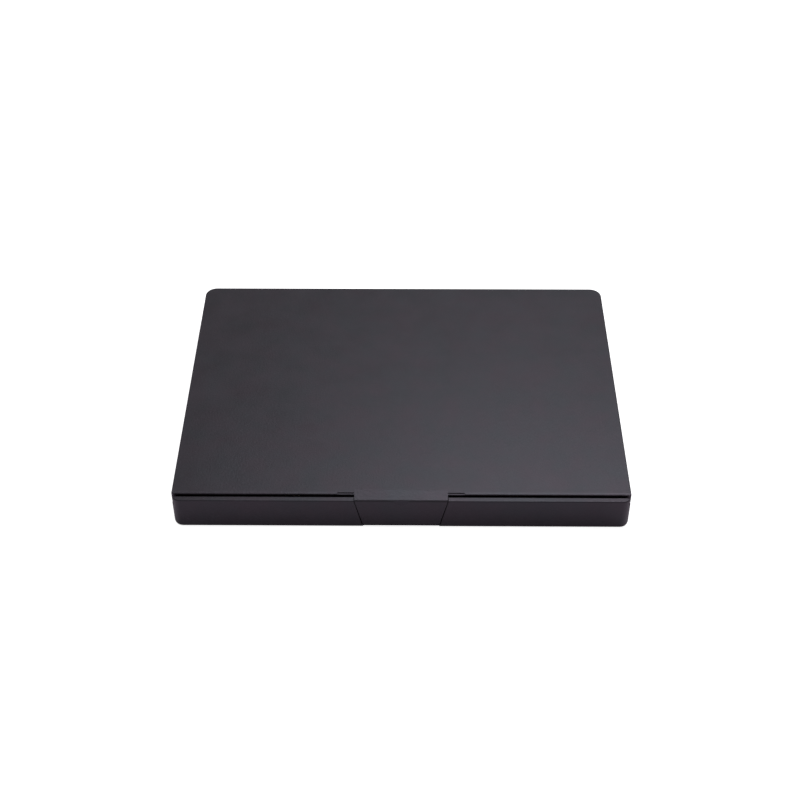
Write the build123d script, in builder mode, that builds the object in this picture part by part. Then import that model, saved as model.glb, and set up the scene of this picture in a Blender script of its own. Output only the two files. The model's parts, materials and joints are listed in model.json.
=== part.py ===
from build123d import *
import os

# Flat eyeshadow palette: a tray-shaped base with a raised front rim, and a hinged lid whose tongue
# crosses the rim and folds down as a finger flap in a tapered notch.
# Millimetres. X is the width, the front faces -Y, and Z is up from the underside.

# Case
case_width = 200.0
case_length = 149.25
case_height = 18.2
front_corner_radius = 3.8
back_corner_radius = 5.5
underside_radius = 2.5
floor_thickness = 1.5
side_wall = 2.0
front_wall = 3.9
back_wall = 5.0

# Front rim and the slot behind it
lid_rise = 1.2
rim_depth = 2.85
rim_edge_radius = 0.5
rim_end_radius = 1.0
slot_width = 0.45

# Lid
lid_depth = 5.0
parting_gap = 0.3
lid_top_thickness = 1.6
lid_skirt = 2.0
lid_edge_thickness = 0.9
lid_undercut = 1.6
lid_edge_radius = 0.5
lid_front_corner_radius = 0.6
lid_crown_depth = 1.15
lid_crown_drop = 0.2
relief_length = 7.4
relief_depth = 0.9
relief_drop = 0.4
seam_edge_radius = 0.4

# Tongue and front flap
tongue_width = 40.6
tongue_ramp = 5.85
tongue_gap = 0.3
flap_bottom_width = 33.2
flap_thickness = 1.6
flap_end_height = 1.7
flap_end_radius = 0.3
flap_gap = 0.5
fold_radius = 0.9
nail_nick_radius = 20.0
nail_nick_depth = 0.45
nail_nick_height = 2.5
notch_wall_drop = 0.4
snap_bead_radius = 0.22
snap_bead_length = 14.0
snap_bead_height = 6.0
snap_bead_spacing = 1.2

# Hinge
hinge_inset = 1.2
hinge_drop = 1.9
hinge_offset = 62.0
knuckle_radius = 2.4
knuckle_relief = 0.3
lid_knuckle_length = 14.0
base_knuckle_length = 5.0
knuckle_end_gap = 0.3
pin_radius = 0.8
pin_running_clearance = 0.05
pin_end_inset = 0.2

# Pans and powder
pan_diameter = 26.0
pan_height = 4.0
pan_wall = 0.35
pan_bottom_radius = 0.6
pan_proud = 0.1
powder_below_rim = 0.2
powder_edge_radius = 0.35
row_gap = 3.4
column_gap = 5.4
pan_air_gap = 4.8

# Tray
tray_clearance = 0.3
tray_skin = 1.2
well_clearance = 0.2
well_wall = 1.0
tray_back_margin = 3.5
tray_side_margin = 4.0
bay_land = 2.0
tray_corner_radius = 2.5
tray_edge_radius = 0.4

# Applicator and its bay
bay_width = 9.0
bay_depth = 6.0
bay_end_clearance = 1.0
bay_front_margin = 6.0
scoop_radius = 8.0
handle_length = 70.0
handle_radius = 2.6
handle_waist_radius = 1.9
ferrule_length = 14.0
ferrule_radius = 2.75
ferrule_wall = 0.3
ferrule_overlap = 4.0
sponge_length = 12.0
sponge_neck = 3.0
sponge_half_width = 3.2
sponge_half_thickness = 1.7
sponge_edge_radius = 0.6

# Mirror
mirror_thickness = 1.4
mirror_tape_thickness = 0.4
mirror_tape_inset = 2.0
mirror_corner_radius = 3.0
mirror_side_margin = 6.0
mirror_back_margin = 6.0
mirror_front_margin = 9.0
mirror_rib = 1.0
mirror_rib_gap = 0.2

# Places that follow from the sizes above
knuckle_overhang = knuckle_radius - hinge_inset
front_y = -(case_length + knuckle_overhang) / 2
back_y = front_y + case_length
lid_front_y = front_y + rim_depth + slot_width
lid_bottom = case_height - lid_depth
lid_ceiling = case_height - lid_top_thickness
rim_height = case_height - lid_rise
base_wall_height = lid_bottom - parting_gap
hinge_y = back_y - hinge_inset
hinge_z = base_wall_height - hinge_drop
hinge_centres = (-hinge_offset, hinge_offset)
knuckle_span = lid_knuckle_length / 2 + knuckle_end_gap + base_knuckle_length
cavity_front_y = front_y + front_wall
cavity_back_y = back_y - back_wall
cavity_width = case_width - 2 * side_wall
tray_front_y = cavity_front_y + tray_clearance
tray_back_y = cavity_back_y - tray_clearance
tray_width = cavity_width - 2 * tray_clearance
mirror_face = lid_ceiling - mirror_tape_thickness - mirror_thickness
tray_top = mirror_face - pan_air_gap
well_radius = pan_diameter / 2 + well_clearance
well_depth = pan_height - pan_proud
pan_floor_z = tray_top - well_depth
back_row_y = tray_back_y - tray_back_margin - well_radius
applicator_length = handle_length + 2 * (ferrule_length - ferrule_overlap + sponge_length - sponge_neck)
bay_length = applicator_length + 2 * bay_end_clearance
bay_y = tray_front_y + bay_front_margin + bay_width / 2
bay_floor_z = tray_top - bay_depth
row_spacing = pan_diameter + row_gap
column_spacing = pan_diameter + column_gap
front_row_limit = bay_y + scoop_radius + bay_land + well_radius
side_column_limit = tray_width / 2 - tray_side_margin - well_radius
pan_rows = 1 + int((back_row_y - front_row_limit) / row_spacing)
pan_columns = 1 + int(2 * side_column_limit / column_spacing)
pans_middle_y = back_row_y - row_spacing * (pan_rows - 1) / 2
applicator_z = bay_floor_z + ferrule_radius
notch_face_y = front_y + flap_thickness + flap_gap
tongue_underside = rim_height - flap_thickness
notch_wall_top = tongue_underside - notch_wall_drop
overshoot = 5.0

os.makedirs("parts", exist_ok=True)


def finish(piece, name):
    piece.label = name
    export_step(piece, f"parts/{name}.step")


def rounded_plan(width, low_y, high_y, front_radius, rear_radius):
    """Plan outline, centred on X, with its own corner radius at the front and at the back."""
    with BuildSketch(mode=Mode.PRIVATE) as plan:
        with Locations((0, (low_y + high_y) / 2)):
            Rectangle(width, high_y - low_y)
        fillet(plan.vertices().group_by(Axis.Y)[0], front_radius)
        fillet(plan.vertices().group_by(Axis.Y)[-1], rear_radius)
    return plan.sketch


def flap_outline(gap_at_fold, gap_at_end):
    """Front outline of the tongue and flap, grown sideways by a gap: straight to the fold, then tapered."""
    half_fold = tongue_width / 2 + gap_at_fold
    half_end = flap_bottom_width / 2 + gap_at_end
    slope = (half_fold - half_end) / (rim_height - flap_end_height)
    half_low = half_end - slope * (flap_end_height + overshoot)
    high = case_height + overshoot
    with BuildSketch(Plane.XZ.offset(-front_y), mode=Mode.PRIVATE) as outline:
        with BuildLine():
            Polyline((-half_fold, high), (half_fold, high), (half_fold, rim_height), (half_low, -overshoot),
                     (-half_low, -overshoot), (-half_fold, rim_height), close=True)
        make_face()
    return outline.sketch


def across(x_position):
    """Plane that faces +X at a place along the width: its x is Y and its y is Z."""
    return Plane(origin=(x_position, 0, 0), x_dir=(0, 1, 0), z_dir=(1, 0, 0))


# Base: case bottom, front rim, flap notch and hinge knuckles
with BuildPart() as base_shell:
    with BuildSketch():
        add(rounded_plan(case_width, front_y, back_y, front_corner_radius, back_corner_radius))
    extrude(amount=base_wall_height)
    fillet(base_shell.faces().sort_by(Axis.Z)[-1].edges(), seam_edge_radius)
    fillet(base_shell.faces().sort_by(Axis.Z)[0].edges(), underside_radius)

    # front rim, which stands above the side walls
    with BuildSketch(Plane.XY.offset(base_wall_height - 2 * seam_edge_radius)) as rim_plan:
        add(rounded_plan(case_width, front_y, back_y, front_corner_radius, back_corner_radius))
        with Locations((0, front_y + rim_depth / 2)):
            Rectangle(case_width, rim_depth, mode=Mode.INTERSECT)
        fillet(rim_plan.vertices().group_by(Axis.Y)[-1], rim_end_radius)
    extrude(amount=rim_height - base_wall_height + 2 * seam_edge_radius)
    fillet(base_shell.faces().sort_by(Axis.Z)[-1].edges(), rim_edge_radius)

    # hollow for the tray
    with BuildSketch(Plane.XY.offset(floor_thickness)):
        add(rounded_plan(cavity_width, cavity_front_y, cavity_back_y,
                         tray_corner_radius, tray_corner_radius))
    extrude(amount=base_wall_height, mode=Mode.SUBTRACT)

    # notch for the flap, open at the underside, with a lower wall behind it
    with BuildSketch(Plane.XZ.offset(-front_y)):
        add(flap_outline(tongue_gap, flap_gap))
    extrude(amount=-(notch_face_y - front_y), mode=Mode.SUBTRACT)
    with BuildSketch(Plane.XY.offset(floor_thickness)) as notch_wall:
        with Locations((0, (notch_face_y + cavity_front_y) / 2)):
            Rectangle(tongue_width + 2 * tongue_gap, cavity_front_y - notch_face_y)
    extrude(amount=case_height, mode=Mode.SUBTRACT)
    extrude(notch_wall.sketch, amount=notch_wall_top - floor_thickness)

    # snap bead on the notch wall
    with BuildSketch(across(-snap_bead_length / 2)):
        with Locations((notch_face_y, snap_bead_height)):
            Circle(snap_bead_radius)
    extrude(amount=snap_bead_length)

    # hinge: pockets for the lid's knuckles, then the base's own knuckles, bored together
    for hinge_x in hinge_centres:
        pocket_length = lid_knuckle_length + 2 * knuckle_end_gap
        with BuildSketch(across(hinge_x - pocket_length / 2)):
            with Locations((hinge_y, hinge_z)):
                Circle(knuckle_radius + knuckle_relief)
        extrude(amount=pocket_length, mode=Mode.SUBTRACT)
        for side in (-1, 1):
            inner_end = hinge_x + side * (lid_knuckle_length / 2 + knuckle_end_gap)
            with BuildSketch(across(inner_end)):
                with Locations((hinge_y, hinge_z)):
                    Circle(knuckle_radius)
            extrude(amount=side * base_knuckle_length)
        with BuildSketch(across(hinge_x - knuckle_span - overshoot)):
            with Locations((hinge_y, hinge_z)):
                Circle(pin_radius)
        extrude(amount=2 * (knuckle_span + overshoot), mode=Mode.SUBTRACT)
finish(base_shell.part, "base_shell")


# Tongue and flap, one bent plate: a ramp from the lid's top down to the rim's height, then the fold
ramp_back_y = front_y + tongue_ramp
with BuildPart() as tongue_and_flap:
    with BuildSketch(across(-tongue_width / 2)):
        with BuildLine():
            Polyline((ramp_back_y, case_height), (front_y, rim_height), (front_y, flap_end_height),
                     (front_y + flap_thickness, flap_end_height),
                     (front_y + flap_thickness, tongue_underside), (ramp_back_y, lid_ceiling), close=True)
        make_face()
    extrude(amount=tongue_width)
    bends = tongue_and_flap.edges().filter_by(Axis.X)
    fillet(bends.sort_by_distance((0, front_y, rim_height))[0], fold_radius)
    fillet(tongue_and_flap.edges().filter_by(Axis.X).group_by(Axis.Z)[0], flap_end_radius)
    with BuildSketch(Plane.XZ.offset(-front_y + overshoot)):
        add(flap_outline(0, 0))
    extrude(amount=-(tongue_ramp + 2 * overshoot), mode=Mode.INTERSECT)


# Lid: top plate with side and back skirts, the tongue and flap, and the hinge knuckles
with BuildPart() as lid_shell:
    with BuildSketch(Plane.XY.offset(lid_bottom)) as lid_plan:
        with Locations((0, (lid_front_y + back_y) / 2)):
            Rectangle(case_width, back_y - lid_front_y)
        fillet(lid_plan.vertices().group_by(Axis.Y)[-1], back_corner_radius)
    extrude(amount=case_height - lid_bottom)

    # front edge: the top curves down a little and ends in a crisp edge
    crown_start = (lid_front_y + lid_crown_depth, case_height)
    crown_end = (lid_front_y, case_height - lid_crown_drop)
    with BuildSketch(across(-case_width / 2 - overshoot)):
        with BuildLine():
            TangentArc(crown_start, crown_end, tangent=(-1, 0))
            Polyline(crown_end, (lid_front_y - overshoot, case_height - lid_crown_drop),
                     (lid_front_y - overshoot, case_height + overshoot),
                     (lid_front_y + lid_crown_depth, case_height + overshoot), crown_start)
        make_face()
    extrude(amount=case_width + 2 * overshoot, mode=Mode.SUBTRACT)
    fillet(lid_shell.faces().sort_by(Axis.Z)[-1].edges().sort_by(Axis.Y)[1:], lid_edge_radius)
    fillet(lid_shell.faces().sort_by(Axis.Z)[0].edges(), seam_edge_radius)
    with BuildSketch(Plane.XY.offset(lid_bottom)):
        add(rounded_plan(case_width, lid_front_y, back_y + overshoot,
                         lid_front_corner_radius, overshoot / 2))
    extrude(amount=case_height - lid_bottom, mode=Mode.INTERSECT)

    # hollow inside the skirts, open at the front
    inner_width = case_width - 2 * lid_skirt
    with BuildSketch(Plane.XY.offset(lid_bottom - overshoot)):
        add(rounded_plan(inner_width, lid_front_y - overshoot, back_y - lid_skirt, overshoot / 2,
                         back_corner_radius - lid_skirt))
    extrude(amount=lid_ceiling - lid_bottom + overshoot, mode=Mode.SUBTRACT)

    # thin front edge, cut back from below
    with BuildSketch(across(-inner_width / 2)):
        with BuildLine():
            Polyline((lid_front_y, case_height - lid_edge_thickness),
                     (lid_front_y + lid_undercut, lid_ceiling),
                     (lid_front_y, lid_ceiling), close=True)
        make_face()
    extrude(amount=inner_width, mode=Mode.SUBTRACT)

    # the tongue takes the place of the plate along the ramp
    with BuildSketch(across(-tongue_width / 2)):
        with Locations(((lid_front_y + ramp_back_y) / 2, (lid_ceiling + case_height) / 2)):
            Rectangle(ramp_back_y - lid_front_y, lid_top_thickness)
    extrude(amount=tongue_width, mode=Mode.SUBTRACT)
    add(tongue_and_flap.part)

    # shallow steps in the front edge where the tongue leaves it, and a nail nick at the middle of the fold
    with BuildSketch(Plane.XY.offset(case_height - relief_drop)):
        for side in (-1, 1):
            relief_x = side * (tongue_width + relief_length) / 2
            with Locations((relief_x, lid_front_y + (relief_depth - overshoot) / 2)):
                Rectangle(relief_length, relief_depth + overshoot)
    extrude(amount=overshoot, mode=Mode.SUBTRACT)
    nick_foot = Plane(origin=(0, front_y, rim_height - nail_nick_height), x_dir=(1, 0, 0),
                      z_dir=(0, nail_nick_depth, nail_nick_height))
    with BuildSketch(nick_foot):
        with Locations((0, -nail_nick_radius)):
            Circle(nail_nick_radius)
    extrude(amount=2 * nail_nick_height, mode=Mode.SUBTRACT)

    # snap bead inside the flap, just under the one on the notch wall
    with BuildSketch(across(-snap_bead_length / 2)):
        with Locations((front_y + flap_thickness, snap_bead_height - snap_bead_spacing)):
            Circle(snap_bead_radius)
    extrude(amount=snap_bead_length)

    # rib that frames the mirror
    rib_gap = mirror_side_margin - mirror_rib_gap
    with BuildSketch(Plane.XY.offset(lid_ceiling)) as rib_plan:
        rib_low = lid_front_y + mirror_front_margin - mirror_rib_gap
        rib_high = back_y - lid_skirt - mirror_back_margin + mirror_rib_gap
        rib_inner_width = inner_width - 2 * rib_gap
        add(rounded_plan(rib_inner_width + 2 * mirror_rib, rib_low - mirror_rib, rib_high + mirror_rib,
                         mirror_corner_radius + mirror_rib, mirror_corner_radius + mirror_rib))
        add(rounded_plan(rib_inner_width, rib_low, rib_high, mirror_corner_radius, mirror_corner_radius),
            mode=Mode.SUBTRACT)
    extrude(amount=-(mirror_thickness + mirror_tape_thickness))

    # hinge: room for the base's knuckles, then the lid's own knuckles, bored to run on the pins
    for hinge_x in hinge_centres:
        for side in (-1, 1):
            inner_end = hinge_x + side * lid_knuckle_length / 2
            with BuildSketch(across(inner_end)):
                with Locations((hinge_y, hinge_z)):
                    Circle(knuckle_radius + knuckle_relief)
            extrude(amount=side * (base_knuckle_length + 2 * knuckle_end_gap), mode=Mode.SUBTRACT)
        with BuildSketch(across(hinge_x - lid_knuckle_length / 2)):
            with Locations((hinge_y, hinge_z)):
                Circle(knuckle_radius)
            with Locations((hinge_y, (hinge_z + lid_bottom + seam_edge_radius) / 2)):
                Rectangle(2 * hinge_inset, lid_bottom + seam_edge_radius - hinge_z)
        extrude(amount=lid_knuckle_length)
        with BuildSketch(across(hinge_x - lid_knuckle_length / 2 - overshoot)):
            with Locations((hinge_y, hinge_z)):
                Circle(pin_radius + pin_running_clearance)
        extrude(amount=lid_knuckle_length + 2 * overshoot, mode=Mode.SUBTRACT)
finish(lid_shell.part, "lid_shell")


# Steel hinge pins, tight in the base's knuckles and free in the lid's
for hinge_x, pin_name in zip(hinge_centres, ("hinge_pin_left", "hinge_pin_right")):
    with BuildPart() as hinge_pin:
        with BuildSketch(across(hinge_x - knuckle_span + pin_end_inset)):
            with Locations((hinge_y, hinge_z)):
                Circle(pin_radius)
        extrude(amount=2 * (knuckle_span - pin_end_inset))
    finish(hinge_pin.part, pin_name)


# Mirror and the adhesive sheet above it
mirror_width = inner_width - 2 * mirror_side_margin
mirror_front_y = lid_front_y + mirror_front_margin
mirror_back_y = back_y - lid_skirt - mirror_back_margin
with BuildPart() as mirror:
    with BuildSketch(Plane.XY.offset(mirror_face)):
        add(rounded_plan(mirror_width, mirror_front_y, mirror_back_y,
                         mirror_corner_radius, mirror_corner_radius))
    extrude(amount=mirror_thickness)
finish(mirror.part, "mirror")

with BuildPart() as mirror_tape:
    with BuildSketch(Plane.XY.offset(mirror_face + mirror_thickness)):
        add(rounded_plan(mirror_width - 2 * mirror_tape_inset, mirror_front_y + mirror_tape_inset,
                         mirror_back_y - mirror_tape_inset, mirror_corner_radius, mirror_corner_radius))
    extrude(amount=mirror_tape_thickness)
finish(mirror_tape.part, "mirror_tape")


# Tray: a skin with a skirt that stands on the base's floor, round wells and the applicator's bay
with BuildPart() as pan_tray:
    with BuildSketch(Plane.XY.offset(floor_thickness)):
        add(rounded_plan(tray_width, tray_front_y, tray_back_y, tray_corner_radius, tray_corner_radius))
    extrude(amount=tray_top - floor_thickness)
    fillet(pan_tray.faces().sort_by(Axis.Z)[-1].edges(), tray_edge_radius)
    with BuildSketch(Plane.XY.offset(floor_thickness)):
        add(rounded_plan(tray_width - 2 * tray_skin, tray_front_y + tray_skin, tray_back_y - tray_skin,
                         tray_corner_radius - tray_skin, tray_corner_radius - tray_skin))
    extrude(amount=tray_top - tray_skin - floor_thickness, mode=Mode.SUBTRACT)
    with BuildSketch(Plane.XY.offset(pan_floor_z - well_wall)):
        with Locations((0, pans_middle_y)):
            with GridLocations(column_spacing, row_spacing, pan_columns, pan_rows):
                Circle(well_radius + well_wall)
    extrude(amount=tray_top - tray_skin - pan_floor_z + well_wall)
    with BuildSketch(Plane.XY.offset(bay_floor_z - well_wall)):
        with Locations((0, bay_y)):
            Rectangle(bay_length + 2 * well_wall, bay_width + 2 * well_wall)
            Circle(scoop_radius + well_wall)
    extrude(amount=tray_top - tray_skin - bay_floor_z + well_wall)
    with BuildSketch(Plane.XY.offset(pan_floor_z)):
        with Locations((0, pans_middle_y)):
            with GridLocations(column_spacing, row_spacing, pan_columns, pan_rows):
                Circle(well_radius)
    extrude(amount=well_depth + overshoot, mode=Mode.SUBTRACT)
    with BuildSketch(Plane.XY.offset(bay_floor_z)):
        with Locations((0, bay_y)):
            SlotOverall(bay_length, bay_width)
            Circle(scoop_radius)
    extrude(amount=bay_depth + overshoot, mode=Mode.SUBTRACT)
finish(pan_tray.part, "pan_tray")


# Pans and powder cakes: rows a to d from the back, columns 1 to 6 from the left
for row in range(pan_rows):
    for column in range(pan_columns):
        place = "abcd"[row] + str(column + 1)
        pan_x = column_spacing * (column - (pan_columns - 1) / 2)
        pan_y = back_row_y - row_spacing * row
        with BuildPart() as pan:
            with BuildSketch(Plane.XY.offset(pan_floor_z)):
                with Locations((pan_x, pan_y)):
                    Circle(pan_diameter / 2)
            extrude(amount=pan_height)
            fillet(pan.faces().sort_by(Axis.Z)[0].edges(), pan_bottom_radius)
            with BuildSketch(Plane.XY.offset(pan_floor_z + pan_wall)):
                with Locations((pan_x, pan_y)):
                    Circle(pan_diameter / 2 - pan_wall)
            extrude(amount=pan_height, mode=Mode.SUBTRACT)
        finish(pan.part, f"pan_{place}")
        with BuildPart() as powder:
            with BuildSketch(Plane.XY.offset(pan_floor_z + pan_wall)):
                with Locations((pan_x, pan_y)):
                    Circle(pan_diameter / 2 - pan_wall)
            extrude(amount=pan_height - pan_wall - powder_below_rim)
            fillet(powder.faces().sort_by(Axis.Z)[-1].edges(), powder_edge_radius)
        finish(powder.part, f"powder_{place}")


# Double-ended applicator, lying along X in its bay: a waisted handle with a spigot at each end
applicator_axis = Axis((0, bay_y, applicator_z), (1, 0, 0))
half_handle = handle_length / 2
shoulder = half_handle - ferrule_overlap
spigot_radius = ferrule_radius - ferrule_wall
spigot_z = applicator_z + spigot_radius
shoulder_z = applicator_z + handle_radius
with BuildPart() as applicator_handle:
    with BuildSketch(Plane.XZ.offset(-bay_y)):
        with BuildLine():
            Polyline((-shoulder, shoulder_z), (-shoulder, spigot_z), (-half_handle, spigot_z),
                     (-half_handle, applicator_z), (half_handle, applicator_z), (half_handle, spigot_z),
                     (shoulder, spigot_z), (shoulder, shoulder_z))
            ThreePointArc((-shoulder, shoulder_z), (0, applicator_z + handle_waist_radius),
                          (shoulder, shoulder_z))
        make_face()
    revolve(axis=applicator_axis)
finish(applicator_handle.part, "applicator_handle")

ferrule_end = shoulder + ferrule_length
with BuildPart() as applicator_ferrules:
    for side in (-1, 1):
        with BuildSketch(across(side * shoulder)):
            with Locations((bay_y, applicator_z)):
                Circle(ferrule_radius)
                Circle(spigot_radius, mode=Mode.SUBTRACT)
        extrude(amount=side * ferrule_length)
finish(applicator_ferrules.part, "applicator_ferrules")

tip_length = sponge_length - sponge_neck
for side, sponge_name in ((-1, "applicator_sponge_left"), (1, "applicator_sponge_right")):
    with BuildPart() as applicator_sponge:
        with BuildSketch(Plane.XY.offset(applicator_z - sponge_half_thickness)):
            with Locations((side * (ferrule_end + tip_length / 2), bay_y)):
                Ellipse(tip_length / 2, sponge_half_width)
        extrude(amount=2 * sponge_half_thickness)
        fillet(applicator_sponge.edges(), sponge_edge_radius)
        with BuildSketch(across(side * (ferrule_end - sponge_neck))):
            with Locations((bay_y, applicator_z)):
                Circle(sponge_half_thickness)
        extrude(amount=side * (sponge_neck + tip_length / 2))
        with BuildSketch(across(side * (ferrule_end - sponge_neck))):
            with Locations((bay_y, applicator_z)):
                Circle(spigot_radius)
        extrude(amount=side * sponge_neck)
    finish(applicator_sponge.part, sponge_name)
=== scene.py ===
import bpy
import json
import math
from mathutils import Matrix, Vector


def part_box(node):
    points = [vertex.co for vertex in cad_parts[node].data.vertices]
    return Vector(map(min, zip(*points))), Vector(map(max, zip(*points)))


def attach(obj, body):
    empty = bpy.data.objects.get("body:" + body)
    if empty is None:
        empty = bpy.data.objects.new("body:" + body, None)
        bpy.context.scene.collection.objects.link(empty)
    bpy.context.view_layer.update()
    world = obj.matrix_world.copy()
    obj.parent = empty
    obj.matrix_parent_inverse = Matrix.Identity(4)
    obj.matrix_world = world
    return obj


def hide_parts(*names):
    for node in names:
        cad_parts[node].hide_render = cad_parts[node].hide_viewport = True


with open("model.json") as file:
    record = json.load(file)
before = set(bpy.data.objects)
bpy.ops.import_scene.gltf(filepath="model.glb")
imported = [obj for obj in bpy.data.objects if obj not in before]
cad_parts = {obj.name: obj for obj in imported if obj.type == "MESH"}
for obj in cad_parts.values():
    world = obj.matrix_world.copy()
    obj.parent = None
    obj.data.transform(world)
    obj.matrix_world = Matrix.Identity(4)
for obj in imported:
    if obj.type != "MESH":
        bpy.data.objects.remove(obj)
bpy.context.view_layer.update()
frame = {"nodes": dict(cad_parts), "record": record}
nodes = frame["nodes"]
scene = bpy.context.scene
scene.view_settings.view_transform = "Standard"
white = (1, 1, 1, 1)
print("frame loaded:", len(nodes), "nodes")


# Node helpers shared by the studio, the finishes and the shape trees

def addNode(tree, kind, inputs=None, **settings):
    node = tree.nodes.new(kind)
    for key, value in settings.items():
        setattr(node, key, value)
    for socket, value in (inputs or {}).items():
        if isinstance(value, bpy.types.NodeSocket):
            tree.links.new(value, node.inputs[socket])
        else:
            node.inputs[socket].default_value = value
    return node


def clearedTree(owner):
    owner.use_nodes = True
    owner.node_tree.nodes.clear()
    return owner.node_tree


# Studio: camera, pale floor, one large soft light behind and above

cameraLook = {
    "place": (0.0042, -0.51258, 0.4690),
    "pitch": 41.94,  # degrees below the horizon
    "yaw": 0.59,
    "roll": 0.19,
    "lens": 65.25,
    "nearClip": 0.01,
}


def placeCamera(look):
    camera = bpy.data.objects.new("camera", bpy.data.cameras.new("camera"))
    scene.collection.objects.link(camera)
    turn = (Matrix.Rotation(math.radians(look["yaw"]), 4, "Z")
            @ Matrix.Rotation(math.radians(90 - look["pitch"]), 4, "X")
            @ Matrix.Rotation(math.radians(-look["roll"]), 4, "Z"))
    camera.matrix_world = Matrix.Translation(look["place"]) @ turn
    camera.data.lens = look["lens"]
    camera.data.clip_start = look["nearClip"]
    scene.camera = camera


studioLook = {
    "floorHalfSide": 8.0,
    "floorDrop": 0.00005,
    "floorColour": (0.80, 0.80, 0.80, 1),
    "floorLift": 0.86,  # glow that only the camera sees, which hides most of the case's shadow
    "bounceColour": (0.99, 0.89, 0.98, 1),
    "boxPlace": (0.25, 0.64, 1.28),
    "boxSize": (0.8, 0.7),
    "boxWatts": 9.2,
    "boxColour": (0.955, 0.945, 1.0),
    "roomGlow": 0.415,
    "roomSeen": 1.0,  # the room's white, to the camera only
}


def buildStudio(look):
    half, low = look["floorHalfSide"], -look["floorDrop"]
    mesh = bpy.data.meshes.new("floor")
    mesh.from_pydata([(-half, -half, low), (half, -half, low), (half, half, low), (-half, half, low)],
                     [], [(0, 1, 2, 3)])
    floor = bpy.data.objects.new("floor", mesh)
    scene.collection.objects.link(floor)

    paint = bpy.data.materials.new("floorPaint")
    tree = clearedTree(paint)
    seesCamera = addNode(tree, "ShaderNodeLightPath").outputs["Is Camera Ray"]
    seen = addNode(tree, "ShaderNodeBsdfDiffuse", {"Color": look["floorColour"]})
    lift = addNode(tree, "ShaderNodeEmission", {"Strength": look["floorLift"]})
    both = addNode(tree, "ShaderNodeAddShader", {0: seen.outputs[0], 1: lift.outputs[0]})
    bounce = addNode(tree, "ShaderNodeBsdfDiffuse", {"Color": look["bounceColour"]})
    split = addNode(tree, "ShaderNodeMixShader", {0: seesCamera, 1: bounce.outputs[0], 2: both.outputs[0]})
    addNode(tree, "ShaderNodeOutputMaterial", {"Surface": split.outputs[0]})
    mesh.materials.append(paint)

    lamp = bpy.data.lights.new("softbox", "AREA")
    lamp.shape = "RECTANGLE"
    lamp.size, lamp.size_y = look["boxSize"]
    lamp.energy = look["boxWatts"]
    lamp.color = look["boxColour"]
    softbox = bpy.data.objects.new("softbox", lamp)
    scene.collection.objects.link(softbox)
    softbox.location = look["boxPlace"]
    softbox.rotation_euler = (-Vector(look["boxPlace"])).to_track_quat("-Z", "Y").to_euler()

    world = bpy.data.worlds.new("room")
    scene.world = world
    tree = clearedTree(world)
    seesCamera = addNode(tree, "ShaderNodeLightPath").outputs["Is Camera Ray"]
    glow = addNode(tree, "ShaderNodeBackground", {"Color": white, "Strength": look["roomGlow"]})
    plain = addNode(tree, "ShaderNodeBackground", {"Color": white, "Strength": look["roomSeen"]})
    split = addNode(tree, "ShaderNodeMixShader", {0: seesCamera, 1: glow.outputs[0], 2: plain.outputs[0]})
    addNode(tree, "ShaderNodeOutputWorld", {"Surface": split.outputs[0]})


placeCamera(cameraLook)
buildStudio(studioLook)
print("studio ready")


# Finish helpers. Every pattern runs on the piece's own coordinates, and its three numbers are its
# features per metre, its detail and its roughness.

def startFinish(name, **sockets):
    material = bpy.data.materials.new(name)
    material.use_nodes = True
    tree = material.node_tree
    shader = tree.nodes["Principled BSDF"]
    for socket, value in sockets.items():
        shader.inputs[socket].default_value = value
    return material, tree, shader


def objectPlace(tree, stretch=(1, 1, 1)):
    place = addNode(tree, "ShaderNodeTexCoord").outputs["Object"]
    return addNode(tree, "ShaderNodeMapping", {"Vector": place, "Scale": stretch}).outputs["Vector"]


def grain(tree, pattern, stretch=(1, 1, 1)):
    scale, detail, roughness = pattern
    return addNode(tree, "ShaderNodeTexNoise", {"Vector": objectPlace(tree, stretch), "Scale": scale,
                                                "Detail": detail, "Roughness": roughness}).outputs["Fac"]


def blendColours(tree, value, dark, light, ends=(0.35, 0.65)):
    node = addNode(tree, "ShaderNodeValToRGB", {"Fac": value})
    for stop, place, colour in zip(node.color_ramp.elements, ends, (dark, light)):
        stop.position = place
        stop.color = (*colour, 1)
    return node.outputs["Color"]


def rescale(tree, value, low, high, ends=(0.3, 0.7)):
    return addNode(tree, "ShaderNodeMapRange", {"Value": value, "From Min": ends[0], "From Max": ends[1],
                                                "To Min": low, "To Max": high}).outputs["Result"]


def dent(tree, shader, height, depth):
    bump = addNode(tree, "ShaderNodeBump", {"Height": height, "Distance": depth})
    tree.links.new(bump.outputs["Normal"], shader.inputs["Normal"])


def wear(name, finish):
    slots = nodes[name].data.materials
    slots.clear()
    slots.append(finish)


# Case: black moulded plastic with a very fine matte texture and faint, broad mottling

casePlasticLook = {
    "dark": (0.0110, 0.0082, 0.0112),
    "light": (0.0150, 0.0116, 0.0156),
    "patches": (60.0, 4.0, 0.6),
    "grain": (1100.0, 3.0, 0.7),
    "grainDepth": 0.000065,
    "roughness": (0.34, 0.40),
    "specular": 0.42,
    "coolTint": (0.85, 0.90, 1.0),
    "warmTint": (0.96, 0.87, 1.0),
    "tints": (75.0, 3.0, 0.6),
}

trayPlasticLook = dict(casePlasticLook, dark=(0.0100, 0.0094, 0.0106), light=(0.0140, 0.0132, 0.0150),
                       grain=(1500.0, 3.0, 0.7), grainDepth=0.00003, roughness=(0.34, 0.42), specular=0.5)


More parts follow.
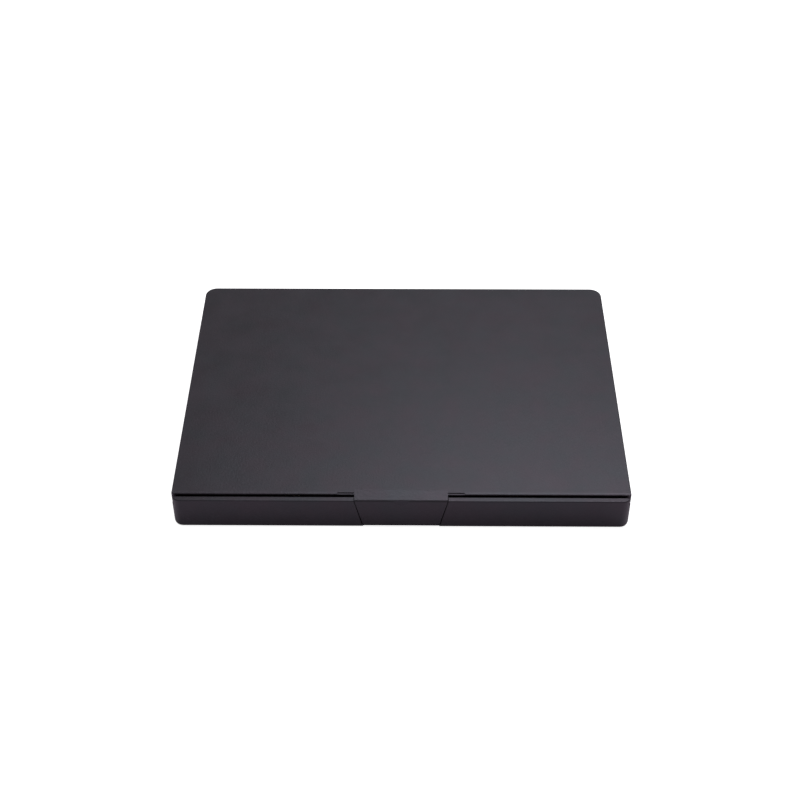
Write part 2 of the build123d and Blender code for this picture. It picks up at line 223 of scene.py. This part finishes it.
def mouldedPlastic(name, look):
    finish, tree, shader = startFinish(name, **{"Specular IOR Level": look["specular"]})
    patches = grain(tree, look["patches"])
    tree.links.new(blendColours(tree, patches, look["dark"], look["light"]), shader.inputs["Base Color"])
    tree.links.new(rescale(tree, patches, *look["roughness"]), shader.inputs["Roughness"])
    tints = grain(tree, look["tints"])
    tint = blendColours(tree, tints, look["coolTint"], look["warmTint"])
    tree.links.new(tint, shader.inputs["Specular Tint"])
    dent(tree, shader, grain(tree, look["grain"]), look["grainDepth"])
    return finish


casePlastic = mouldedPlastic("casePlastic", casePlasticLook)
trayPlastic = mouldedPlastic("trayPlastic", trayPlasticLook)
wear("base_shell", casePlastic)
wear("lid_shell", casePlastic)
wear("pan_tray", trayPlastic)


# Metals: tin pans, hinge pins and the applicator's collars

metalLooks = {
    "panMetal": {"dark": (0.62, 0.61, 0.60), "light": (0.80, 0.79, 0.78), "roughness": (0.24, 0.38),
                 "stretch": (1, 1, 1), "marks": (900.0, 3.0, 0.6), "depth": 0.000004},
    "pinSteel": {"dark": (0.48, 0.48, 0.49), "light": (0.66, 0.66, 0.67), "roughness": (0.22, 0.36),
                 "stretch": (0.05, 1, 1), "marks": (5000.0, 3.0, 0.6), "depth": 0.000004},
    "collarMetal": {"dark": (0.66, 0.66, 0.67), "light": (0.84, 0.84, 0.85), "roughness": (0.14, 0.26),
                    "stretch": (1, 0.15, 0.15), "marks": (2500.0, 3.0, 0.6), "depth": 0.000003},
}


def drawnMetal(name, look):
    finish, tree, shader = startFinish(name, Metallic=1.0)
    marks = grain(tree, look["marks"], look["stretch"])
    tree.links.new(blendColours(tree, marks, look["dark"], look["light"]), shader.inputs["Base Color"])
    tree.links.new(rescale(tree, marks, *look["roughness"]), shader.inputs["Roughness"])
    dent(tree, shader, marks, look["depth"])
    return finish


metals = {name: drawnMetal(name, look) for name, look in metalLooks.items()}
panNames = sorted(name for name in nodes if name.startswith("pan_") and name != "pan_tray")
for name in panNames:
    wear(name, metals["panMetal"])
for name in ("hinge_pin_left", "hinge_pin_right"):
    wear(name, metals["pinSteel"])


# Mirror and the foam tape behind it

mirrorLook = {
    "glass": (0.86, 0.88, 0.885),
    "smear": (0.90, 0.915, 0.92),
    "smears": (38.0, 5.0, 0.65),
    "smearStretch": (1, 2.2, 1),
    "smearEnds": (0.45, 0.8),
    "roughness": (0.015, 0.045),
}

tapeLook = {
    "dark": (0.70, 0.69, 0.64),
    "light": (0.84, 0.83, 0.78),
    "roughness": 0.9,
    "cells": (1800.0, 2.0, 0.6),
    "cellDepth": 0.00006,
}


def mirrorGlass(look):
    finish, tree, shader = startFinish("mirrorGlass", Metallic=1.0)
    smears = grain(tree, look["smears"], look["smearStretch"])
    tree.links.new(blendColours(tree, smears, look["glass"], look["smear"]), shader.inputs["Base Color"])
    haze = rescale(tree, smears, *look["roughness"], ends=look["smearEnds"])
    tree.links.new(haze, shader.inputs["Roughness"])
    return finish


def tapeFoam(look):
    finish, tree, shader = startFinish("tapeFoam", Roughness=look["roughness"])
    cells = grain(tree, look["cells"])
    colour = blendColours(tree, cells, look["dark"], look["light"])
    tree.links.new(colour, shader.inputs["Base Color"])
    dent(tree, shader, cells, look["cellDepth"])
    return finish


wear("mirror", mirrorGlass(mirrorLook))
wear("mirror_tape", tapeFoam(tapeLook))
print("case, metal and mirror finishes on")


# Shape trees. Each bends one unit grid, which runs from -0.5 to 0.5, into a closed skin.

gridHalf = 0.5
fullTurn = 2 * math.pi


def unitGrid(tree, columns, rows):
    grid = addNode(tree, "GeometryNodeMeshGrid", {"Size X": 1.0, "Size Y": 1.0,
                                                  "Vertices X": columns, "Vertices Y": rows})
    place = addNode(tree, "GeometryNodeInputPosition").outputs[0]
    return grid.outputs["Mesh"], addNode(tree, "ShaderNodeSeparateXYZ", {0: place})


def bentAndWelded(tree, mesh, position, weld):
    shaped = addNode(tree, "GeometryNodeSetPosition", {"Geometry": mesh, "Position": position})
    return addNode(tree, "GeometryNodeMergeByDistance", {"Geometry": shaped.outputs[0],
                                                         "Distance": weld}).outputs[0]


def shapeTree(name, sockets):
    tree = bpy.data.node_groups.new(name, "GeometryNodeTree")
    for label, kind, value in sockets:
        socket = tree.interface.new_socket(label, in_out="INPUT", socket_type=kind)
        if value is not None:
            socket.default_value = value
    tree.interface.new_socket("Geometry", in_out="OUTPUT", socket_type="NodeSocketGeometry")
    return tree, tree.nodes.new("NodeGroupInput").outputs


def closeTree(tree, geometry, finish):
    real = addNode(tree, "GeometryNodeRealizeInstances", {"Geometry": geometry})
    smooth = addNode(tree, "GeometryNodeSetShadeSmooth", {"Geometry": real.outputs[0]})
    painted = addNode(tree, "GeometryNodeSetMaterial", {"Geometry": smooth.outputs[0], "Material": finish})
    addNode(tree, "NodeGroupOutput", {"Geometry": painted.outputs[0]})


def calc(tree, operation, first, second=0.0):
    return addNode(tree, "ShaderNodeMath", {0: first, 1: second}, operation=operation).outputs[0]


def grownPiece(name, tree, values):
    host = bpy.data.objects.new(name + "Host", bpy.data.meshes.new(name + "Host"))
    scene.collection.objects.link(host)
    modifier = host.modifiers.new("shape", "NODES")
    modifier.node_group = tree
    for item in tree.interface.items_tree:
        if item.in_out == "INPUT" and item.name in values:
            modifier[item.identifier] = values[item.name]
    bpy.context.view_layer.update()
    shape = host.evaluated_get(bpy.context.evaluated_depsgraph_get())
    mesh = bpy.data.meshes.new_from_object(shape)
    mesh.name = name
    bpy.data.objects.remove(host)
    piece = bpy.data.objects.new(name, mesh)
    scene.collection.objects.link(piece)
    return piece


# Powder cakes: a pressed disc with a woven imprint, one tree grown once for each pan

cakeLook = {
    "edge": 0.00035,
    "weavePitch": 0.00150,
    "weaveDepth": 0.00013,
    "plainRim": 0.0016,  # the band along the edge in which the imprint fades out
    "plainShare": 0.6,  # share of that band, at its outer side, with no imprint
    "unevenDepth": 0.00006,
    "unevenPerMetre": 240.0,
    "unevenDetail": 2.0,
    "topShare": 0.80,  # where along the section the top, the rounded edge and the wall end
    "edgeShare": 0.90,
    "wallShare": 0.96,
    "weld": 1e-6,
    "around": 168,
    "rings": 40,
    "shimmerRows": "c",
    "satinRows": "bd",
}


def cakeTree(look):
    tree, given = shapeTree("pressedCake", [
        ("Centre", "NodeSocketVector", None), ("Radius", "NodeSocketFloat", None),
        ("Top", "NodeSocketFloat", None), ("Bottom", "NodeSocketFloat", None),
        ("Edge", "NodeSocketFloat", look["edge"]), ("Pitch", "NodeSocketFloat", look["weavePitch"]),
        ("Depth", "NodeSocketFloat", look["weaveDepth"]), ("Rim", "NodeSocketFloat", look["plainRim"]),
        ("Uneven", "NodeSocketFloat", look["unevenDepth"]), ("Seed", "NodeSocketFloat", 0.0),
        ("Finish", "NodeSocketMaterial", None)])
    mesh, at = unitGrid(tree, look["around"] + 1, look["rings"])
    turn = calc(tree, "MULTIPLY", at.outputs["X"], -fullTurn)
    # 0 at the middle of the top, 1 at the middle of the foot
    along = calc(tree, "ADD", at.outputs["Y"], gridHalf)
    flat = calc(tree, "SUBTRACT", given["Radius"], given["Edge"])

    def stretchOf(low, high, start, end):
        return addNode(tree, "ShaderNodeMapRange", {"Value": along, "From Min": low, "From Max": high,
                                                    "To Min": start, "To Max": end}).outputs["Result"]

    topReach = stretchOf(0.0, look["topShare"], 0.0, flat)
    roll = stretchOf(look["topShare"], look["edgeShare"], 0.0, fullTurn / 4)
    edgeReach = calc(tree, "MULTIPLY", calc(tree, "SINE", roll), given["Edge"])
    rolled = calc(tree, "SUBTRACT", 1.0, calc(tree, "COSINE", roll))
    edgeFall = calc(tree, "MULTIPLY", rolled, given["Edge"])
    height = calc(tree, "SUBTRACT", given["Top"], given["Bottom"])
    wall = calc(tree, "SUBTRACT", height, given["Edge"])
    wallFall = stretchOf(look["edgeShare"], look["wallShare"], 0.0, wall)
    footReach = stretchOf(look["wallShare"], 1.0, 0.0, given["Radius"])
    reach = calc(tree, "SUBTRACT", calc(tree, "ADD", topReach, edgeReach), footReach)
    level = calc(tree, "SUBTRACT", given["Top"], calc(tree, "ADD", edgeFall, wallFall))
    x = calc(tree, "MULTIPLY", reach, calc(tree, "COSINE", turn))
    y = calc(tree, "MULTIPLY", reach, calc(tree, "SINE", turn))

    # woven imprint: two crossing sets of fine ridges, faded out near the rim and below it
    perPitch = calc(tree, "DIVIDE", math.pi, given["Pitch"])
    warp = calc(tree, "SINE", calc(tree, "MULTIPLY", calc(tree, "ADD", x, y), perPitch))
    weft = calc(tree, "SINE", calc(tree, "MULTIPLY", calc(tree, "SUBTRACT", x, y), perPitch))
    weave = calc(tree, "SUBTRACT", 1.0, calc(tree, "ABSOLUTE", calc(tree, "MULTIPLY", warp, weft)))
    inside = addNode(tree, "ShaderNodeMapRange", {
        "Value": topReach, "From Min": calc(tree, "SUBTRACT", flat, given["Rim"]),
        "From Max": calc(tree, "SUBTRACT", flat, calc(tree, "MULTIPLY", given["Rim"], look["plainShare"])),
        "To Min": 1.0, "To Max": 0.0}).outputs["Result"]
    lumps = addNode(tree, "ShaderNodeTexNoise", {
        "Vector": addNode(tree, "ShaderNodeCombineXYZ", {"X": x, "Y": y}).outputs[0],
        "W": given["Seed"], "Scale": look["unevenPerMetre"],
        "Detail": look["unevenDetail"]}, noise_dimensions="4D").outputs["Fac"]
    sunk = calc(tree, "ADD", calc(tree, "MULTIPLY", calc(tree, "MULTIPLY", weave, inside), given["Depth"]),
                calc(tree, "MULTIPLY", calc(tree, "MULTIPLY", lumps, inside), given["Uneven"]))
    surface = addNode(tree, "ShaderNodeCombineXYZ", {
        "X": x, "Y": y, "Z": calc(tree, "SUBTRACT", level, sunk)})
    placed = addNode(tree, "ShaderNodeVectorMath", {0: surface.outputs[0], 1: given["Centre"]},
                     operation="ADD")
    closeTree(tree, bentAndWelded(tree, mesh, placed.outputs[0], look["weld"]), given["Finish"])
    return tree


powderLook = {
    "specular": 0.3,
    "grains": (2400.0, 4.0, 0.7),
    "grainDepth": 0.00005,
    "shadeSpread": (0.80, 1.06),
    "matte": {"roughness": (0.82, 0.95), "fleck": 0.0},
    "satin": {"roughness": (0.50, 0.72), "fleck": 0.35},
    "shimmer": {"roughness": (0.28, 0.50), "fleck": 0.75},
    "flecksPerMetre": 5200.0,
    "fleckEnds": (0.35, 0.9),
}


def pressedPowder(name, colour, kind, look):
    finish, tree, shader = startFinish(name, **{"Specular IOR Level": look["specular"]})
    grains = grain(tree, look["grains"])
    dark, light = ([min(1.0, part * share) for part in colour] for share in look["shadeSpread"])
    tree.links.new(blendColours(tree, grains, dark, light), shader.inputs["Base Color"])
    tree.links.new(rescale(tree, grains, *look[kind]["roughness"]), shader.inputs["Roughness"])
    if look[kind]["fleck"]:
        flecks = addNode(tree, "ShaderNodeTexVoronoi", {"Vector": objectPlace(tree),
                                                        "Scale": look["flecksPerMetre"]}).outputs["Color"]
        one = addNode(tree, "ShaderNodeSeparateColor", {0: flecks}).outputs[0]
        metallic = rescale(tree, one, 0.0, look[kind]["fleck"], ends=look["fleckEnds"])
        tree.links.new(metallic, shader.inputs["Metallic"])
    dent(tree, shader, grains, look["grainDepth"])
    return finish


shades = {slot["slot"]: slot["base_color"] for slot in frame["record"]["materials"]}
cakes = cakeTree(cakeLook)
powderNames = sorted(name for name in nodes if name.startswith("powder_"))
for number, name in enumerate(powderNames):
    low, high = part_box(name)
    well = name[len("powder_"):]
    row = well[0]
    kind = ("shimmer" if row in cakeLook["shimmerRows"]
            else "satin" if row in cakeLook["satinRows"] else "matte")
    finish = pressedPowder("finish." + name, shades[name], kind, powderLook)
    cake = grownPiece("cake." + well, cakes, {
        "Centre": ((low.x + high.x) / 2, (low.y + high.y) / 2, 0.0), "Radius": (high.x - low.x) / 2,
        "Top": high.z, "Bottom": low.z, "Seed": float(number), "Finish": finish})
    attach(cake, "base")
    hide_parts(name)
print("powder cakes pressed:", len(powderNames))


# Applicator: gloss handle, crimped collars and two foam tips

handleLook = {
    "dark": (0.010, 0.010, 0.011),
    "light": (0.016, 0.016, 0.018),
    "roughness": (0.10, 0.18),
    "specular": 0.5,
    "flow": (420.0, 3.0, 0.6),
    "flowStretch": (0.12, 1, 1),
    "flowDepth": 0.000004,
}


def glossPlastic(look):
    finish, tree, shader = startFinish("handleGloss", **{"Specular IOR Level": look["specular"]})
    flow = grain(tree, look["flow"], look["flowStretch"])
    tree.links.new(blendColours(tree, flow, look["dark"], look["light"]), shader.inputs["Base Color"])
    tree.links.new(rescale(tree, flow, *look["roughness"]), shader.inputs["Roughness"])
    dent(tree, shader, flow, look["flowDepth"])
    return finish


wear("applicator_handle", glossPlastic(handleLook))

collarLook = {
    "overlap": 0.004,  # how far each collar reaches back over the handle
    "wall": 0.00025,
    "crimpDepth": 0.00016,
    "crimpPitch": 0.0011,
    "crimpedLength": 0.0044,
    "weld": 1e-6,
    "around": 56,
    "steps": 121,
}


def collarTree(look):
    tree, given = shapeTree("crimpedCollar", [
        ("Centre", "NodeSocketVector", None), ("Inner End", "NodeSocketFloat", None),
        ("Outer End", "NodeSocketFloat", None), ("Radius", "NodeSocketFloat", None),
        ("Wall", "NodeSocketFloat", look["wall"]), ("Crimp Depth", "NodeSocketFloat", look["crimpDepth"]),
        ("Crimp Pitch", "NodeSocketFloat", look["crimpPitch"]),
        ("Crimped Length", "NodeSocketFloat", look["crimpedLength"]), ("Finish", "NodeSocketMaterial", None)])
    mesh, at = unitGrid(tree, look["around"] + 1, look["steps"])
    turn = calc(tree, "MULTIPLY", at.outputs["X"], fullTurn)
    loop = at.outputs["Y"]  # outer skin from -0.5 to 0, back along the bore from 0 to 0.5
    share = calc(tree, "SUBTRACT", 1.0, calc(tree, "MULTIPLY", calc(tree, "ABSOLUTE", loop), 2.0))
    span = calc(tree, "SUBTRACT", given["Outer End"], given["Inner End"])
    x = calc(tree, "ADD", given["Inner End"], calc(tree, "MULTIPLY", share, span))
    halfStep = gridHalf / look["steps"]
    bore = calc(tree, "MULTIPLY", calc(tree, "GREATER_THAN", loop, halfStep),
                calc(tree, "LESS_THAN", loop, gridHalf - halfStep))
    # rings pressed in near the handle's end
    depth = calc(tree, "SUBTRACT", x, given["Inner End"])
    perPitch = calc(tree, "DIVIDE", fullTurn, given["Crimp Pitch"])
    wave = calc(tree, "SINE", calc(tree, "MULTIPLY", depth, perPitch))
    crimped = calc(tree, "LESS_THAN", depth, given["Crimped Length"])
    crimp = calc(tree, "MULTIPLY", calc(tree, "MAXIMUM", wave, 0.0), crimped)
    skin = calc(tree, "SUBTRACT", given["Radius"], calc(tree, "MULTIPLY", crimp, given["Crimp Depth"]))
    radius = calc(tree, "SUBTRACT", skin, calc(tree, "MULTIPLY", bore, given["Wall"]))
    tube = addNode(tree, "ShaderNodeCombineXYZ", {
        "X": x, "Y": calc(tree, "MULTIPLY", radius, calc(tree, "COSINE", turn)),
        "Z": calc(tree, "MULTIPLY", radius, calc(tree, "SINE", turn))})
    collar = bentAndWelded(tree, mesh, tube.outputs[0], look["weld"])
    # one collar at each end, the second turned half round
    ends = addNode(tree, "GeometryNodeMeshLine", {"Count": 2, "Start Location": given["Centre"],
                                                  "Offset": (0, 0, 0)})
    index = addNode(tree, "GeometryNodeInputIndex").outputs[0]
    spin = addNode(tree, "ShaderNodeCombineXYZ", {"Z": calc(tree, "MULTIPLY", index, fullTurn / 2)})
    copies = addNode(tree, "GeometryNodeInstanceOnPoints", {
        "Points": ends.outputs[0], "Instance": collar, "Rotation": spin.outputs[0]})
    closeTree(tree, copies.outputs[0], given["Finish"])
    return tree


low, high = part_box("applicator_ferrules")
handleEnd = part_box("applicator_handle")[1].x
collars = grownPiece("applicatorCollars", collarTree(collarLook), {
    "Centre": (0.0, (low.y + high.y) / 2, (low.z + high.z) / 2),
    "Inner End": handleEnd - collarLook["overlap"], "Outer End": high.x,
    "Radius": (high.z - low.z) / 2, "Finish": metals["collarMetal"]})
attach(collars, "base")
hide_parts("applicator_ferrules")


# Foam tips: a flat oval pad on a narrower oval neck, with the open skin of flocked foam

tipLook = {
    "neckLength": 0.0036,
    "neckRadius": 0.0021,
    "halfWidth": 0.00315,
    "halfThickness": 0.00165,
    "poresPerMetre": 1500.0,
    "poreDepth": 0.00009,
    "poreLevel": 0.7,
    "lumpsPerMetre": 260.0,
    "lumpDetail": 2.0,
    "lumpDepth": 0.00022,
    "neckEndRound": 0.0006,
    "thickFrom": (0.75, 1.6),  # where the pad's thickness comes in, in neck lengths
    "wideFrom": (0.9, 1.3),  # and its width
    "ovalPower": 2.0,
    "crownPower": 5.0,
    "shutAt": 0.99999,  # just under one, so that the last row closes to a point
    "weld": 2e-6,
    "around": 96,
    "steps": 96,
    "fill": 0.9,
}

foamLook = {
    "dark": (0.62, 0.50, 0.36),
    "light": (0.86, 0.76, 0.60),
    "pores": (2600.0, 4.0, 0.7),
    "poreDepth": 0.00006,
    "roughness": 0.95,
    "specular": 0.2,
    "sheen": 0.35,
}


def tipTree(look):
    tree, given = shapeTree("foamTip", [
        ("Centre", "NodeSocketVector", None), ("Turn", "NodeSocketFloat", 0.0),
        ("Start", "NodeSocketFloat", None), ("End", "NodeSocketFloat", None),
        ("Neck Length", "NodeSocketFloat", look["neckLength"]),
        ("Neck Radius", "NodeSocketFloat", look["neckRadius"]),
        ("Half Width", "NodeSocketFloat", look["halfWidth"]),
        ("Half Thickness", "NodeSocketFloat", look["halfThickness"]),
        ("Lump Depth", "NodeSocketFloat", look["lumpDepth"]),
        ("Pore Depth", "NodeSocketFloat", look["poreDepth"]),
        ("Finish", "NodeSocketMaterial", None)])
    mesh, at = unitGrid(tree, look["around"] + 1, look["steps"])
    turn = calc(tree, "MULTIPLY", at.outputs["X"], fullTurn)
    # rows bunch up towards both closed ends
    swing = calc(tree, "MULTIPLY", calc(tree, "ADD", at.outputs["Y"], gridHalf), fullTurn / 2)
    share = calc(tree, "MULTIPLY", calc(tree, "SUBTRACT", 1.0, calc(tree, "COSINE", swing)), 0.5)
    length = calc(tree, "SUBTRACT", given["End"], given["Start"])
    along = calc(tree, "MULTIPLY", share, length)

    def pastNeck(ends):
        low, high = (calc(tree, "MULTIPLY", given["Neck Length"], end) for end in ends)
        return addNode(tree, "ShaderNodeMapRange", {"Value": along, "From Min": low, "From Max": high},
                       interpolation_type="SMOOTHSTEP").outputs["Result"]

    halfPad = calc(tree, "MULTIPLY", calc(tree, "SUBTRACT", length, given["Neck Length"]), 0.5)
    middle = calc(tree, "ADD", given["Neck Length"], halfPad)
    reach = calc(tree, "DIVIDE", calc(tree, "SUBTRACT", along, middle), halfPad)
    reach = calc(tree, "MINIMUM", calc(tree, "ABSOLUTE", reach), 1.0)

    def shutting(power):
        left = calc(tree, "SUBTRACT", look["shutAt"], calc(tree, "POWER", reach, power))
        return calc(tree, "SQRT", calc(tree, "MAXIMUM", left, 0.0))

    oval, crown = shutting(look["ovalPower"]), shutting(look["crownPower"])
    thickened, widened = pastNeck(look["thickFrom"]), pastNeck(look["wideFrom"])
    closing = calc(tree, "DIVIDE", along, look["neckEndRound"])
    closing = calc(tree, "SQRT", calc(tree, "MINIMUM", closing, 1.0))
    neck = calc(tree, "MULTIPLY", calc(tree, "MULTIPLY", given["Neck Radius"], closing),
                calc(tree, "SUBTRACT", 1.0, thickened))
    padWide = calc(tree, "MULTIPLY", calc(tree, "MULTIPLY", oval, given["Half Width"]), widened)
    wide = calc(tree, "MAXIMUM", neck, padWide)
    flatter = calc(tree, "DIVIDE", given["Half Thickness"], given["Neck Radius"])
    padThick = calc(tree, "MULTIPLY", calc(tree, "MULTIPLY", crown, given["Half Thickness"]), thickened)
    thick = calc(tree, "MAXIMUM", calc(tree, "MULTIPLY", neck, flatter), padThick)
    y = calc(tree, "MULTIPLY", wide, calc(tree, "COSINE", turn))
    z = calc(tree, "MULTIPLY", thick, calc(tree, "SINE", turn))
    skin = addNode(tree, "ShaderNodeCombineXYZ", {"X": along, "Y": y, "Z": z})
    lumps = addNode(tree, "ShaderNodeTexNoise", {
        "Vector": skin.outputs[0], "W": given["Turn"], "Scale": look["lumpsPerMetre"],
        "Detail": look["lumpDetail"]}, noise_dimensions="4D").outputs["Fac"]
    pores = addNode(tree, "ShaderNodeTexVoronoi", {
        "Vector": skin.outputs[0], "W": given["Turn"],
        "Scale": look["poresPerMetre"]}, voronoi_dimensions="4D").outputs["Distance"]
    sunk = calc(tree, "ADD", calc(tree, "MULTIPLY", lumps, given["Lump Depth"]),
                calc(tree, "MULTIPLY", calc(tree, "SUBTRACT", look["poreLevel"], pores), given["Pore Depth"]))
    inward = calc(tree, "SUBTRACT", 1.0, calc(tree, "DIVIDE", sunk, given["Half Width"]))
    rough = addNode(tree, "ShaderNodeCombineXYZ", {
        "X": calc(tree, "ADD", given["Start"], along), "Y": calc(tree, "MULTIPLY", y, inward),
        "Z": calc(tree, "MULTIPLY", z, inward)})
    tip = bentAndWelded(tree, mesh, rough.outputs[0], look["weld"])
    spin = addNode(tree, "ShaderNodeCombineXYZ", {"Z": given["Turn"]})
    placed = addNode(tree, "GeometryNodeTransform", {"Geometry": tip, "Translation": given["Centre"],
                                                     "Rotation": spin.outputs[0]})
    closeTree(tree, placed.outputs[0], given["Finish"])
    return tree


def flockedFoam(look):
    finish, tree, shader = startFinish("flockedFoam", **{"Roughness": look["roughness"],
                                                         "Specular IOR Level": look["specular"],
                                                         "Sheen Weight": look["sheen"]})
    pores = grain(tree, look["pores"])
    tree.links.new(blendColours(tree, pores, look["dark"], look["light"]), shader.inputs["Base Color"])
    dent(tree, shader, pores, look["poreDepth"])
    return finish


foamTips = tipTree(tipLook)
foam = flockedFoam(foamLook)
for side, turn in (("left", fullTurn / 2), ("right", 0.0)):
    name = "applicator_sponge_" + side
    low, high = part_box(name)
    reach = sorted((abs(low.x), abs(high.x)))
    tip = grownPiece("foamTip." + side, foamTips, {
        "Centre": (0.0, (low.y + high.y) / 2, (low.z + high.z) / 2), "Turn": turn,
        "Start": reach[0], "End": reach[1], "Finish": foam})
    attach(tip, "base")
    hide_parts(name)
print("applicator dressed")
